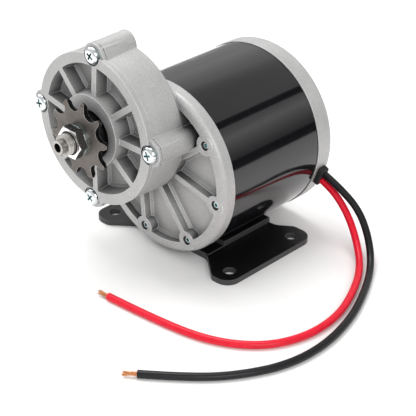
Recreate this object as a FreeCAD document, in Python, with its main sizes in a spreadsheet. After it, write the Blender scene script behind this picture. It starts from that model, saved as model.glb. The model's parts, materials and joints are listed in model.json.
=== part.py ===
"""Brushed DC motor with an offset single-stage spur gearbox, a chain sprocket and a foot plate.

Millimetres, +Z up.  The origin is the centre of the four foot holes, on the underside of the foot plate.
The motor axis and the output axis are both parallel to Y; the sprocket is at the -Y end.
"""
import math
import os
import re

import FreeCAD
import Part
import Sketcher
from FreeCAD import Placement, Rotation, Vector

SIZES = {
    # foot plate and saddle
    "foot_pitch_x": 92, "foot_pitch_y": 52, "foot_hole_radius": 3.5, "plate_thick": 3.2,
    "plate_half": 54.4, "plate_front": -36.2, "plate_back": 35.8, "plate_corner": 8,
    "waist_front": -22.8, "waist_back": 29.2, "waist_half_front": 26, "waist_half_back": 31,
    "wing_inner_front": 42, "wing_inner_back": 40, "waist_blend": 9,
    "saddle_half": 26.5, "saddle_high": 3.3, "saddle_front": -9.6, "saddle_lip": 0.6,
    # motor axis, can and rear cap
    "axis_height": 53.2, "can_radius": 49.5, "can_wall": 2.5, "can_front": -27.3, "can_back": 41.8,
    "flange_thick": 3, "flange_bore": 36, "cap_radius": 50, "cap_back": 54.7, "cap_edge": 4, "cap_wall": 3,
    "spigot_front": 36, "cap_dish_deep": 1.2, "cap_dish_edge": 9, "cap_rib_width": 4,
    "bolt_circle": 41.5, "bolt_radius": 2, "bolt_head_radius": 3.8, "bolt_head_high": 4, "bolt_sunk": 0.6,
    "bolt_socket_deep": 2.4, "bolt_post_wall": 1.4, "bolt_first_angle": 60,
    # front bell
    "rim_radius": 50, "rim_edge": 3, "bell_front": -35, "bell_floor": -29.4, "pocket_radius": 43.6,
    "rib_width": 3, "rib_foot": 1.3, "rib_draft": 0.4, "bell_screw_circle": 43, "bell_boss_radius": 5.6,
    "bell_screw_radius": 1.25, "bell_hole_radius": 2.7, "bell_head_radius": 1.9, "bell_head_high": 2.5,
    "bell_head_back": -31.5, "bell_socket_radius": 1.1, "bell_socket_deep": 1.5,
    # gearbox: the casting stands on one axis, and the output shaft on another a little below it
    "tooth_module": 0.7, "pinion_teeth": 9, "gear_teeth": 83, "output_shift": 22.6,
    "gear_shift": 23.6, "gear_rise": 24.4,
    "body_front": -57, "body_back": -36.5, "body_front_radius": 42.7, "body_back_radius": 43.6,
    "neck_back_radius": 42.6, "chamber_radius": 38.1, "chamber_back": -38.5, "recess_front": -33.5,
    "recess_radius": 36.5, "boss_circle": 42.9, "boss_radius": 6.6, "boss_back_radius": 7.3,
    "boss_back": -35.2, "web_near_width": 18, "web_far_width": 10, "cover_screw_radius": 2.5,
    "screw_hole_deep": 12, "gasket_thick": 0.5, "gasket_inset": 0.8, "bearing_boss_wall": 3.5,
    # cover
    "cover_front": -61, "cover_back": -49.5, "cover_floor": -52, "cover_radius": 43.2, "ring_inner": 37.2,
    "skirt_radius": 38, "floor_outer": 35.4, "hub_front": -63.4, "hub_radius": 20.6, "hub_base_radius": 21.6,
    "mark_circle": 40.4, "mark_angle": -44.1, "mark_radius": 1.6, "mark_width": 0.35, "mark_deep": 0.2,
    "cover_rib_width": 3.4, "cover_rib_draft": 0.5, "seat_front": -59.4, "seat_radius": 5.7,
    "screw_head_radius": 4.75, "screw_head_high": 2.9, "screw_head_edge": 2.1, "cross_half": 2.4,
    "cross_width": 1.1, "cross_deep": 1.7, "cross_draft": -0.25,
    "seal_radius": 14, "seal_front": -62.2, "seal_back": -58.4, "seal_groove_deep": 2.2,
    "seal_groove_edge": 1.4,
    # bearings: bore, outside and width of the two sizes used
    "small_bore": 5, "small_outside": 13, "small_width": 8,
    "large_bore": 8.5, "large_outside": 17.5, "large_width": 10, "running_gap": 0.05,
    "shield_thick": 0.5, "shield_sunk": 0.3, "shield_gap": 0.15,
    "armature_bearing": -27, "cap_bearing": 43.5, "output_bearing": -37.5, "preload_thick": 0.6,
    # output shaft, sprocket and nut
    "gear_front": -47.2, "gear_hub_front": -48.4, "gear_back": -40.4, "gear_hub_radius": 13,
    "gear_web_radius": 24.5, "gear_web_thick": 4, "gear_hole_radius": 3.6, "gear_key_width": 5,
    "gear_key_deep": 2, "gear_key_high": 1.6, "clip_back": -39.4, "clip_groove": 7.9, "clip_radius": 10.6,
    "clip_gap": 4, "journal_front": -38.6, "shoulder_radius": 6.4, "shaft_back": -29.9,
    "spacer_radius": 12.4, "spacer_front": -69.9, "spacer_back": -62.8, "sprocket_front": -72.7,
    "sprocket_teeth": 10, "chain_pitch": 12.7, "roller_radius": 4.5, "sprocket_tip_radius": 22.2,
    "sprocket_bevel": 0.9, "sprocket_first_tooth": 7, "sprocket_key_width": 3, "sprocket_key_deep": 1.5,
    "sprocket_key_high": 1.2, "thread_radius": 6, "washer_front": -74.1, "washer_radius": 8.6,
    "washer_slit": 0.8, "nut_front": -79, "nut_flats": 16.4, "nut_bevel": 0.5, "nut_corner_angle": -3,
    "thread_front": -83.5, "thread_pitch": 1.25, "thread_depth": 0.65, "tip_front": -86.8, "tip_radius": 3.9,
    "centre_hole_radius": 2.6, "centre_hole_deep": 4,
    # armature
    "pinion_front": -48.5, "pinion_back": -39.5, "neck_radius": 4.05, "armature_end": 51.3,
    "armature_shoulder": 6.5, "core_front": -10, "core_back": 20, "core_radius": 37.8, "slot_count": 16,
    "slot_width": 4.4, "slot_mouth": 2, "slot_bottom": 22, "coil_overhang": 7, "coil_inner": 15,
    "coil_outer": 36, "coil_edge": 2.5, "commutator_front": 27.6, "commutator_back": 39.4,
    "commutator_radius": 12.5, "commutator_hub_radius": 9, "bar_count": 24, "bar_gap": 0.5,
    "magnet_inner": 38.5, "magnet_front": -13, "magnet_back": 24, "magnet_gap": 12,
    # brush gear
    "brush_width": 6, "brush_long": 8, "brush_top": 24, "brush_mid": 33.8, "holder_wall": 0.8,
    "holder_inner": 15.5, "holder_outer": 31, "brush_plate_front": 38.6, "brush_plate_thick": 2,
    "brush_plate_bore": 17.5, "brush_bolt_gap": 0.6, "spring_wire": 0.35, "spring_radius": 1.9,
    "spring_turns": 4, "brush_first_angle": 45,
    # leads
    "lead_radius": 2.1, "strand_radius": 0.5, "strand_circle": 1.05, "strand_long": 5, "strand_lean": 0.16,
    "lead_gap": 4.8, "grommet_angle": 20, "grommet_mid": 47.3, "grommet_flange": 11.2, "grommet_width": 6.6,
    "grommet_stand": 3.3, "grommet_neck": 9.2, "grommet_edge": 1.2, "grommet_root": 6,
}

# The four bell screws: angle on the bell, and where the rib that runs to each one starts (from the motor axis)
BELL_SCREWS = [(37, 8, 6), (-9, 9, 1), (-60, 1, -11), (-106, -14.4, -14)]
# The four cover screws and the ribs of the cover: angles round the gearbox casting
COVER_SCREWS = [0, 89, 178, -94]
COVER_RIBS = [0, 37.5, 86, 132, 169, -135, -89.5, -37.5]

doc = FreeCAD.newDocument("gear_motor")
dim = doc.addObject("Spreadsheet::Sheet", "dim")
for row, (word, number) in enumerate(SIZES.items(), 1):
    dim.set(f"A{row}", word)
    dim.set(f"B{row}", str(number))
    dim.setAlias(f"B{row}", word)
doc.recompute()

CENTRE_DISTANCE = "(tooth_module * (pinion_teeth + gear_teeth) / 2)"
MOTOR = ("0", "axis_height")
OUTPUT = ("-output_shift", f"axis_height + sqrt({CENTRE_DISTANCE}^2 - output_shift^2)")
GEARBOX = ("-gear_shift", "axis_height + gear_rise")
CAN_INSIDE = "can_radius - can_wall"
CAP_BEARING_END = "cap_bearing + small_width"
UNDER_BOLT_HEAD = "cap_back - bolt_sunk - bolt_head_high"
WORD = re.compile("[a-z_]+")

pieces = {}


# ---------------------------------------------------------------- building blocks

def in_sheet(formula):
    """A formula with each of the sheet's words written as a reference to its cell."""
    return WORD.sub(lambda match: "dim." + match[0] if match[0] in SIZES else match[0], str(formula))


def bind(thing, **formulas):
    """Tie properties to formulas; a double underscore in a name stands for a dot."""
    for name, formula in formulas.items():
        thing.setExpression(name.replace("__", "."), in_sheet(formula))
    return thing


def put(thing, at, start):
    """Place a thing at a point of the XZ plane, given by two formulas, and at start along Y."""
    return bind(thing, Placement__Base__x=at[0], Placement__Base__y=start, Placement__Base__z=at[1])


def turned(kind, start, end, at, **radii):
    thing = doc.addObject(kind, "turned")
    thing.Placement = Placement(Vector(), Rotation(Vector(1, 0, 0), -90))
    bind(thing, Height=f"({end}) - ({start})", **radii)
    return put(thing, at, start)


def rod(radius, start, end, at=MOTOR):
    """A cylinder along Y."""
    return turned("Part::Cylinder", start, end, at, Radius=radius)


def taper(front_radius, back_radius, start, end, at=MOTOR):
    """A cone along Y."""
    return turned("Part::Cone", start, end, at, Radius1=front_radius, Radius2=back_radius)


def spoke(at, radius, angle):
    """The point at a radius and an angle (degrees, from +X towards +Z) round an axis."""
    return (f"{at[0]} + ({radius}) * cos({angle})", f"{at[1]} + ({radius}) * sin({angle})")


def bar(at, angle, near, far, width, start, end, foot="0"):
    """A bar that runs outwards from an axis, width across, and wider by foot on each side at its end."""
    thing = doc.addObject("Part::Wedge", "bar")
    thing.Placement = Placement(Vector(), Rotation(Vector(0, 1, 0), 1))
    bind(thing, Xmin=near, X2min=near, Xmax=far, X2max=far, Ymin="0", Ymax=f"({end}) - ({start})",
         Zmin=f"-({width}) / 2", Zmax=f"({width}) / 2", Z2min=f"-({width}) / 2 - ({foot})",
         Z2max=f"({width}) / 2 + ({foot})", Placement__Rotation__Angle=f"-({angle})")
    return put(thing, at, start)


def web(at, angle, near, far, near_width, far_width, start, end):
    """A plate across an axis that runs outwards from near to far and changes width on the way."""
    thing = doc.addObject("Part::Wedge", "web")
    outwards = Rotation(Vector(0, 1, 0), -angle) * Rotation(Vector(1, 1, 1), -120)
    thing.Placement = Placement(Vector(), outwards)
    long = f"({end}) - ({start})"
    bind(thing, Ymin=near, Ymax=far, Zmin="0", Z2min="0", Zmax=long, Z2max=long,
         Xmin=f"-({near_width}) / 2", Xmax=f"({near_width}) / 2",
         X2min=f"-({far_width}) / 2", X2max=f"({far_width}) / 2")
    return put(thing, at, start)


def fuse(*things):
    joined = doc.addObject("Part::MultiFuse", "joined")
    joined.Shapes = list(things)
    joined.Refine = True
    return joined


def cut(base, *tools):
    remainder = doc.addObject("Part::Cut", "cut")
    remainder.Base = base
    remainder.Tool = tools[0] if len(tools) == 1 else fuse(*tools)
    remainder.Refine = True
    return remainder


def common(*things):
    shared = doc.addObject("Part::MultiCommon", "shared")
    shared.Shapes = list(things)
    shared.Refine = True
    return shared


def group(things):
    together = doc.addObject("Part::Compound", "group")
    together.Links = list(things)
    return together


def ring(outer, inner, start, end, at=MOTOR):
    return cut(rod(outer, start, end, at), rod(inner, start, end, at))


def rounded(thing, radius, chosen):
    """Fillet the edges for which chosen(edge) is true."""
    doc.recompute()
    fillet = doc.addObject("Part::Fillet", "rounded")
    fillet.Base = thing
    numbers = [number for number, edge in enumerate(thing.Shape.Edges, 1) if chosen(edge)]
    fillet.Edges = [(number, radius, radius) for number in numbers]
    return fillet


def circle(radius, y):
    """A test for a circular edge of a radius, in the plane at y."""
    def matches(edge):
        curve = edge.Curve
        return (isinstance(curve, Part.Circle) and abs(curve.Radius - radius) < 1e-4
                and abs(curve.Center.y - y) < 1e-4)
    return matches


def piece(label, thing):
    """Name a finished sub-part; its label names its file."""
    doc.recompute()
    thing.Label = label
    pieces[label] = thing


def outline(name, edges):
    """A closed wire as a document object, for an extrusion."""
    wire = doc.addObject("Part::Feature", name)
    wire.Shape = Part.Wire(edges)
    return wire


def extruded(wire, start, end):
    """A closed wire of the XZ plane through the origin, made solid from start to end along Y."""
    solid = doc.addObject("Part::Extrusion", "extruded")
    solid.Base = wire
    solid.DirMode = "Custom"
    solid.Dir = Vector(0, 1, 0)
    solid.Solid = True
    return bind(solid, LengthFwd=f"({end}) - ({start})", Placement__Base__y=start)


def value_of(formula):
    """The number that a formula works out to now."""
    marker = doc.addObject("Part::Vertex", "marker")
    bind(marker, X=formula)
    doc.recompute()
    value = marker.X.Value
    doc.removeObject(marker.Name)
    return value


def axis_point(at):
    """The point where an axis, given by two formulas, crosses the XZ plane."""
    return Vector(value_of(at[0]), 0, value_of(at[1]))


MOTOR_POINT = axis_point(MOTOR)
OUTPUT_POINT = axis_point(OUTPUT)


def polar(centre, radius, angle):
    """A point at a radius and an angle in radians round a centre in the XZ plane."""
    return centre + Vector(radius * math.cos(angle), 0, radius * math.sin(angle))


# ---------------------------------------------------------------- foot

def sketch_on(body, role, name):
    """A new sketch on one of a body's own origin planes."""
    sketch = body.newObject("Sketcher::SketchObject", name)
    plane = next(feature for feature in body.Origin.OriginFeatures if feature.Role == role)
    sketch.AttachmentSupport = [(plane, "")]
    sketch.MapMode = "FlatFace"
    return sketch


def tie_point(sketch, geometry, vertex, x_formula, y_formula):
    """Fix a point of a sketch at two formulas, measured from the sketch's origin."""
    for kind, formula in (("DistanceX", x_formula), ("DistanceY", y_formula)):
        index = sketch.addConstraint(Sketcher.Constraint(kind, -1, 1, geometry, vertex, 1.0))
        sketch.setExpression(f"Constraints[{index}]", in_sheet(formula))


def make_foot_plate():
    """A pressed plate with four wings and a waist, on the base plane."""
    body = doc.addObject("PartDesign::Body", "foot_plate")
    half = [("waist_half_front", "waist_front"), ("wing_inner_front", "plate_front"),
            ("plate_half", "plate_front"), ("plate_half", "plate_back"),
            ("wing_inner_back", "plate_back"), ("waist_half_back", "waist_back")]
    corners = half + [("-" + x, y) for x, y in reversed(half)]
    points = [Vector(value_of(x), value_of(y), 0) for x, y in corners]
    sketch = sketch_on(body, "XY_Plane", "plate_outline")
    for index, start in enumerate(points):
        end = points[(index + 1) % len(points)]
        sketch.addGeometry(Part.LineSegment(start, end), False)
    for index, (x, y) in enumerate(corners):
        before = index - 1 if index else len(corners) - 1
        sketch.addConstraint(Sketcher.Constraint("Coincident", before, 2, index, 1))
        tie_point(sketch, index, 1, x, y)
    plate = body.newObject("PartDesign::Pad", "plate")
    plate.Profile = sketch
    bind(plate, Length="plate_thick")
    doc.recompute()

    holes = sketch_on(body, "XY_Plane", "foot_holes")
    for index, (side, end) in enumerate([(1, 1), (1, -1), (-1, 1), (-1, -1)]):
        centre = Vector(side * SIZES["foot_pitch_x"] / 2, end * SIZES["foot_pitch_y"] / 2, 0)
        holes.addGeometry(Part.Circle(centre, Vector(0, 0, 1), SIZES["foot_hole_radius"]), False)
        tie_point(holes, index, 3, f"{side} * foot_pitch_x / 2", f"{end} * foot_pitch_y / 2")
        size = holes.addConstraint(Sketcher.Constraint("Radius", index, SIZES["foot_hole_radius"]))
        holes.setExpression(f"Constraints[{size}]", in_sheet("foot_hole_radius"))
    drilled = body.newObject("PartDesign::Pocket", "drilled")
    drilled.Profile = holes
    drilled.Type = "ThroughAll"
    drilled.Midplane = True
    doc.recompute()

    def upright_at(radius_name, wanted):
        """Fillet the upright edges whose X, without its sign, is in wanted."""
        base = body.Tip
        names = []
        for number, edge in enumerate(base.Shape.Edges, 1):
            first, last = edge.Vertexes[0].Point, edge.Vertexes[-1].Point
            same_place = abs(first.x - last.x) < 1e-6 and abs(first.y - last.y) < 1e-6
            upright = same_place and abs(first.z - last.z) > 1
            if upright and any(abs(abs(first.x) - SIZES[word]) < 1e-4 for word in wanted):
                names.append(f"Edge{number}")
        fillet = body.newObject("PartDesign::Fillet", "corner")
        fillet.Base = (base, names)
        bind(fillet, Radius=radius_name)
        doc.recompute()

    upright_at("plate_corner", ["plate_half"])
    upright_at("waist_blend", ["waist_half_front", "waist_half_back"])
    upright_at("plate_corner / 2", ["wing_inner_front", "wing_inner_back"])
    piece("foot_plate", body)


def make_foot_saddle():
    """The strip between the plate and the can, hollowed to the can, with a low lip at its front."""
    def slab(start, end, high):
        box = doc.addObject("Part::Box", "slab")
        return bind(box, Length="2 * saddle_half", Width=f"({end}) - ({start})", Height=high,
                    Placement__Base__x="-saddle_half", Placement__Base__y=start,
                    Placement__Base__z="plate_thick")
    both = fuse(slab("saddle_front", "waist_back", "saddle_high"),
                slab("waist_front", "saddle_front", "saddle_lip"))
    piece("foot_saddle", cut(both, rod("can_radius", "can_front", "can_back")))


# ---------------------------------------------------------------- can, magnets and rear cap

def bolt_angles():
    return [f"bolt_first_angle + {quarter * 90}" for quarter in range(4)]


def make_motor_can():
    inside = rod(CAN_INSIDE, "can_front + flange_thick", "can_back")
    bore = rod("flange_bore", "can_front", "can_front + flange_thick")
    holes = [rod("bell_screw_radius", "can_front", "can_front + flange_thick",
                 spoke(MOTOR, "bell_screw_circle", angle)) for angle, _, _ in BELL_SCREWS]
    holes += [rod("bolt_radius", "can_front", "can_front + flange_thick",
                  spoke(MOTOR, "bolt_circle", angle)) for angle in bolt_angles()]
    piece("motor_can", cut(rod("can_radius", "can_front", "can_back"), inside, bore, *holes))


def make_field_magnets():
    """Four arc magnets, held in the can, with gaps for the long bolts."""
    gaps = [bar(MOTOR, angle, "magnet_inner - 5", "can_radius", "magnet_gap", "magnet_front", "magnet_back")
            for angle in bolt_angles()]
    piece("field_magnets", cut(ring(CAN_INSIDE, "magnet_inner", "magnet_front", "magnet_back"), *gaps))


def make_rear_cap():
    """A deep lid with a spigot in the can, a boss for the bearing, and a post round each long bolt."""
    shell = rounded(rod("cap_radius", "can_back", "cap_back"), SIZES["cap_edge"],
                    circle(SIZES["cap_radius"], SIZES["cap_back"]))
    spigot = rod(CAN_INSIDE, "spigot_front", "can_back + 1")
    hollow = rod(f"{CAN_INSIDE} - cap_wall", "spigot_front", "cap_back - cap_wall")
    boss_outside = "small_outside + bearing_boss_wall"
    bearing_boss = rod(boss_outside, "cap_bearing - 0.5", "cap_back")
    under_dish = "cap_back - cap_dish_deep"
    posts = [rod("bolt_head_radius + bolt_post_wall", "can_back + 1", under_dish,
                 spoke(MOTOR, "bolt_circle", angle)) for angle in bolt_angles()]
    ribs = [bar(MOTOR, angle, "small_outside + 2", "bolt_circle", "cap_rib_width", "cap_back - 2 * cap_wall",
                under_dish) for angle in bolt_angles()]
    dish = cut(rod("cap_radius - cap_dish_edge", under_dish, "cap_back"),
               rod(boss_outside, under_dish, "cap_back"))
    tools = [rod("small_outside", "cap_bearing - 0.5", f"{CAP_BEARING_END} + preload_thick + 0.2"), dish,
             grommet_block("grommet_neck", "grommet_width - 2", "cap_radius - cap_wall - 5", "cap_radius + 1")]
    for angle in bolt_angles():
        place = spoke(MOTOR, "bolt_circle", angle)
        tools.append(rod("bolt_radius", "spigot_front", "cap_back", place))
        tools.append(rod("bolt_head_radius + 0.3", UNDER_BOLT_HEAD, "cap_back", place))
    solid = cut(fuse(shell, spigot), hollow)
    piece("rear_cap", cut(fuse(solid, bearing_boss, *posts, *ribs), *tools))


def make_cap_bolts():
    """Long bolts from the rear cap to the flange of the can, between the magnets."""
    bolts = []
    for angle in bolt_angles():
        place = spoke(MOTOR, "bolt_circle", angle)
        head = rounded(rod("bolt_head_radius", UNDER_BOLT_HEAD, "cap_back - bolt_sunk", place), 0.5,
                       circle(SIZES["bolt_head_radius"], SIZES["cap_back"] - SIZES["bolt_sunk"]))
        socket = rod("bolt_radius * 0.9", "cap_back - bolt_sunk - bolt_socket_deep", "cap_back", place)
        bolts.append(cut(fuse(head, rod("bolt_radius", "can_front", UNDER_BOLT_HEAD, place)), socket))
    piece("cap_bolts", group(bolts))


# ---------------------------------------------------------------- gearbox housing with the front bell

def bell_ribs():
    """A rib from the gearbox body to each screw boss, with a sloped foot."""
    ribs = []
    for angle, start_x, start_z in BELL_SCREWS:
        end_x = SIZES["bell_screw_circle"] * math.cos(math.radians(angle))
        end_z = SIZES["bell_screw_circle"] * math.sin(math.radians(angle))
        tilt = math.degrees(math.atan2(end_z - start_z, end_x - start_x))
        reach = math.hypot(end_z - start_z, end_x - start_x)
        start = (str(start_x), f"axis_height + ({start_z})")
        ribs.append(bar(start, tilt, "0", reach, "rib_width", "bell_front", "bell_floor + 0.5", "rib_draft"))
        ribs.append(bar(start, tilt, "0", reach, "rib_width + 2 * rib_draft", "bell_floor - rib_foot",
                        "bell_floor", "rib_foot"))
    return ribs


def cover_ears(radius, back_radius, start, end, web_end):
    """An ear for each cover screw, blended into the round casting by a web."""
    ears = []
    for angle in COVER_SCREWS:
        ears.append(taper(radius, back_radius, start, end, spoke(GEARBOX, "boss_circle", angle)))
        ears.append(web(GEARBOX, angle, "boss_circle - 2", "boss_circle + 5", "web_near_width",
                        "web_far_width", start, web_end))
    return ears


def make_gearbox_housing():
    """One casting: the round bell on the can, and the gear chamber that stands off its axis."""
    edge = circle(SIZES["rim_radius"], SIZES["bell_front"])
    disc = rounded(rod("rim_radius", "bell_front", "can_front"), SIZES["rim_edge"], edge)
    pocket = fuse(rod("pocket_radius", "bell_front", "bell_floor - rib_foot"),
                  taper("pocket_radius", "pocket_radius - rib_foot", "bell_floor - rib_foot", "bell_floor"))
    added = [taper("body_front_radius", "body_back_radius", "body_front", "body_back", GEARBOX),
             taper("body_back_radius", "neck_back_radius", "body_back", "bell_front", GEARBOX),
             common(rod("neck_back_radius", "bell_front", "can_front", GEARBOX),
                    rod("rim_radius - 0.02", "bell_front", "can_front")),
             *bell_ribs(),
             *cover_ears("boss_radius", "boss_back_radius", "body_front", "boss_back", "body_back")]
    for angle, _, _ in BELL_SCREWS:
        place = spoke(MOTOR, "bell_screw_circle", angle)
        added.append(rod("bell_boss_radius", "bell_front", "bell_floor", place))
    for angle in (COVER_SCREWS[0], COVER_SCREWS[3]):
        place = spoke(GEARBOX, "boss_circle", angle)
        added.append(rod("boss_back_radius", "boss_back", "bell_floor + 0.5", place))
    boss_outside = "small_outside + bearing_boss_wall"
    added.append(rod(boss_outside, "bell_floor", "armature_bearing + small_width"))
    added.append(rod("flange_bore", "can_front - 1", "can_front + flange_thick"))

    back = "can_front + flange_thick"
    behind = cut(common(rod("flange_bore - 3", "recess_front", back),
                        rod("recess_radius", "recess_front", back, GEARBOX)),
                 rod(boss_outside, "recess_front", back),
                 rod("small_outside + 2.8", "recess_front", back, OUTPUT))
    tools = [rod("chamber_radius", "body_front", "chamber_back", GEARBOX), behind,
             cut(rod("flange_bore - 3", "can_front", back), rod(boss_outside, "can_front", back)),
             rod("small_outside", "chamber_back", "output_bearing + small_width", OUTPUT),
             rod("small_outside", "armature_bearing", "armature_bearing + small_width"),
             rod("neck_radius + 1.2", "chamber_back", "armature_bearing")]
    for angle in COVER_SCREWS:
        place = spoke(GEARBOX, "boss_circle", angle)
        tools.append(rod("cover_screw_radius", "body_front", "body_front + screw_hole_deep", place))
    for angle, _, _ in BELL_SCREWS:
        place = spoke(MOTOR, "bell_screw_circle", angle)
        tools.append(rod("bell_hole_radius", "bell_front", "bell_head_back", place))
        tools.append(rod("bell_screw_radius", "bell_front", "can_front", place))
    piece("gearbox_housing", cut(fuse(cut(disc, pocket), *added), *tools))


def make_bell_screws():
    screws = []
    top = "bell_head_back - bell_head_high"
    for angle, _, _ in BELL_SCREWS:
        place = spoke(MOTOR, "bell_screw_circle", angle)
        head = rounded(rod("bell_head_radius", top, "bell_head_back", place), 0.35,
                       circle(SIZES["bell_head_radius"], SIZES["bell_head_back"] - SIZES["bell_head_high"]))
        socket = rod("bell_socket_radius", top, f"{top} + bell_socket_deep", place)
        shank = rod("bell_screw_radius", "bell_head_back", "can_front + flange_thick", place)
        screws.append(cut(fuse(head, shank), socket))
    piece("bell_screws", group(screws))


# ---------------------------------------------------------------- gearbox cover

def make_gearbox_cover():
    """A flange with a skirt in the chamber, eight ribs and a hub for the bearing and the seal."""
    back = "body_front - gasket_thick"
    plate = [rod("cover_radius", "cover_front", back, GEARBOX),
             rod("skirt_radius", "cover_front", "cover_back", GEARBOX)]
    above_floor = "cover_floor - rib_foot"
    hollow = fuse(taper("ring_inner", "floor_outer + 0.4", "cover_front", above_floor, GEARBOX),
                  taper("floor_outer + 0.4", "floor_outer - rib_foot", above_floor, "cover_floor", GEARBOX))
    hub = [taper("hub_radius", "hub_base_radius", "hub_front", "cover_floor", GEARBOX),
           taper("hub_base_radius", "hub_base_radius + rib_foot", above_floor, "cover_floor", GEARBOX)]
    ribs = []
    for angle in COVER_RIBS:
        ribs.append(bar(GEARBOX, angle, "seal_radius + 4", "ring_inner + 0.6", "cover_rib_width",
                        "cover_front", "cover_floor + 0.5", "cover_rib_draft"))
        ribs.append(bar(GEARBOX, angle, "seal_radius + 4", "floor_outer",
                        "cover_rib_width + 2 * cover_rib_draft", above_floor, "cover_floor", "rib_foot"))
    tools = [rod("seal_radius", "hub_front", "seal_back", OUTPUT),
             rod("large_outside", "seal_back", "cover_back", OUTPUT)]
    for angle in COVER_SCREWS:
        place = spoke(GEARBOX, "boss_circle", angle)
        tools.append(rod("cover_screw_radius", "cover_front", back, place))
        tools.append(rod("seat_radius", "cover_front", "seat_front", place))
    mark = spoke(GEARBOX, "mark_circle", "mark_angle")
    tools.append(cut(rod("mark_radius", "cover_front", "cover_front + mark_deep", mark),
                     rod("mark_radius - mark_width", "cover_front", "cover_front + mark_deep", mark)))
    ears = cover_ears("boss_radius", "boss_radius", "seat_front", back, back)
    body = cut(fuse(*plate, *ears), hollow)
    piece("gearbox_cover", cut(fuse(body, *hub, *ribs), *tools))


def make_cover_gasket():
    span = ("body_front - gasket_thick", "body_front")
    ear_radius = "boss_radius - 0.1"
    holes = [rod("cover_screw_radius", *span, spoke(GEARBOX, "boss_circle", angle)) for angle in COVER_SCREWS]
    sheet = fuse(rod("cover_radius - gasket_inset", *span, GEARBOX),
                 *cover_ears(ear_radius, ear_radius, *span, "body_front"))
    piece("cover_gasket", cut(sheet, rod("chamber_radius", *span, GEARBOX), *holes))


def make_cover_screws():
    """Pan-head cross-recess screws."""
    top = "seat_front - screw_head_high"
    screws = []
    for number, angle in enumerate(COVER_SCREWS):
        place = spoke(GEARBOX, "boss_circle", angle)
        head = rounded(rod("screw_head_radius", top, "seat_front", place), SIZES["screw_head_edge"],
                       circle(SIZES["screw_head_radius"], SIZES["seat_front"] - SIZES["screw_head_high"]))
        shank = rod("cover_screw_radius", "seat_front", "body_front + screw_hole_deep - 1", place)
        cross = [bar(place, 20 + 40 * number + turn, "-cross_half", "cross_half", "cross_width", top,
                     f"{top} + cross_deep", "cross_draft") for turn in (0, 90)]
        screws.append(cut(fuse(head, shank), *cross))
    piece("cover_screws", group(screws))


def make_shaft_seal():
    groove = ring("seal_radius - seal_groove_edge", "large_bore + seal_groove_edge", "seal_front",
                  "seal_front + seal_groove_deep", OUTPUT)
    whole = ring("seal_radius", "large_bore + running_gap", "seal_front", "seal_back", OUTPUT)
    piece("shaft_seal", cut(whole, groove))


# ---------------------------------------------------------------- bearings

def make_bearing(label, at, start, size, balls):
    """A shielded ball bearing: outer ring with shields, balls, and the inner ring that turns."""
    bore, outside, width = f"{size}_bore", f"{size}_outside", f"{size}_width"
    wall = f"(({outside} - {bore}) * 0.28)"
    end = f"{start} + {width}"
    outer = [ring(outside, f"{outside} - {wall}", start, end, at)]
    for front in (f"{start} + shield_sunk", f"{end} - shield_sunk - shield_thick"):
        outer.append(ring(f"{outside} - {wall} / 2", f"{bore} + {wall} + shield_gap", front,
                          f"{front} + shield_thick", at))
    piece(f"{label}_outer", fuse(*outer))
    piece(f"{label}_inner", ring(f"{bore} + {wall}", bore, start, end, at))
    spheres = []
    for index in range(balls):
        ball = doc.addObject("Part::Sphere", "ball")
        bind(ball, Radius=f"({outside} - {bore}) / 2 - {wall} - running_gap")
        put(ball, spoke(at, f"({outside} + {bore}) / 2", 360 * index / balls), f"{start} + {width} / 2")
        spheres.append(ball)
    piece(f"{label}_balls", group(spheres))


def make_preload_washer():
    """A thin washer between the rear bearing and the floor of its seat."""
    piece("preload_washer", ring("small_outside - 0.3", "small_outside - 3", CAP_BEARING_END,
                                 f"{CAP_BEARING_END} + preload_thick"))


# ---------------------------------------------------------------- gears

def involute_gear(centre, teeth, shift, outer, turn, name, face):
    """The outline of a spur gear: involute flanks, round tips and roots, in the XZ plane.

    shift is the profile shift in modules; turn is the angle of the middle of the first tooth.
    """
    module = SIZES["tooth_module"]
    pressure = math.radians(20)
    pitch = module * teeth / 2
    base = pitch * math.cos(pressure)
    root = pitch - module * (1.25 - shift)
    half = (module * (math.pi / 2 + 2 * shift * math.tan(pressure)) - TOOTH_BACKLASH) / (2 * pitch)
    half += math.tan(pressure) - pressure

    def flank_angle(radius):
        """How far the flank is from the middle of the tooth at a radius."""
        unwound = math.sqrt(max(radius * radius / (base * base) - 1, 0))
        return half - (unwound - math.atan(unwound))

    start = max(base, root)
    steps = 6
    radii = [start + (outer - start) * step / steps for step in range(steps + 1)]
    pitch_angle = 2 * math.pi / teeth
    edges = []
    for tooth in range(teeth):
        middle = turn + tooth * pitch_angle
        rising = [polar(centre, radius, middle - flank_angle(radius)) for radius in radii]
        falling = [polar(centre, radius, middle + flank_angle(radius)) for radius in reversed(radii)]
        next_start = middle + pitch_angle - flank_angle(start)
        last = middle + flank_angle(start)
        if start > root + 0.01:
            first = middle - flank_angle(start)
            edges.append(Part.LineSegment(polar(centre, root, first), rising[0]).toShape())
        for points in (rising, falling):
            curve = Part.BSplineCurve()
            curve.interpolate(points)
            edges.append(curve.toShape())
            if points is rising:
                edges.append(Part.Arc(rising[-1], polar(centre, outer, middle), falling[0]).toShape())
        if start > root + 0.01:
            edges.append(Part.LineSegment(falling[-1], polar(centre, root, last)).toShape())
        edges.append(Part.Arc(polar(centre, root, last), polar(centre, root, (last + next_start) / 2),
                              polar(centre, root, next_start)).toShape())
    return extruded(outline(name, edges), *face)


MESH_ANGLE = math.atan2(OUTPUT_POINT.z - MOTOR_POINT.z, OUTPUT_POINT.x - MOTOR_POINT.x)
PROFILE_SHIFT = 0.47
TOOTH_BACKLASH = 0.06


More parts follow.
